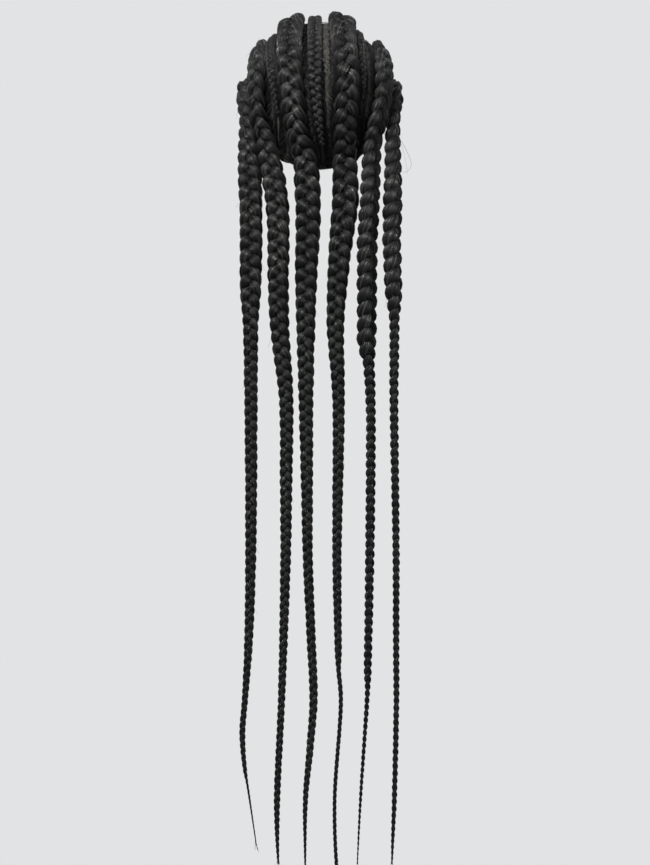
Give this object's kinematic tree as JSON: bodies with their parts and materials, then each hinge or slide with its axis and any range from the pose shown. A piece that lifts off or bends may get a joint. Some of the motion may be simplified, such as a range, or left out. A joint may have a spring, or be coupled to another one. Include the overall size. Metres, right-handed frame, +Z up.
{
  "type": "braided wig",
  "caption": "Long black braided wig: a lace cap with thick and slim cornrows from the hairline, the thick ones hanging free from the nape as tapering plaits.",
  "frame": {"origin": "top of the cap's hollow, where the crown of the head bears", "axes": "+Z up, +Y towards the wearer's front, +X towards the wearer's right; the braids hang down -Z behind the nape"},
  "size_m": [0.1862, 0.2021, 0.9662],
  "materials": {
    "hair": "soft satin synthetic hair fibre, natural black",
    "lace": "matt dark lace net"
  },
  "bodies": {
    "root": {"lace_cap": "lace", "jumbo_braid_1": "hair", "jumbo_braid_2": "hair", "jumbo_braid_3": "hair", "jumbo_braid_4": "hair", "jumbo_braid_5": "hair", "jumbo_braid_6": "hair", "slim_cornrow_1": "hair", "slim_cornrow_2": "hair", "slim_cornrow_3": "hair"}
  },
  "joints": []
}
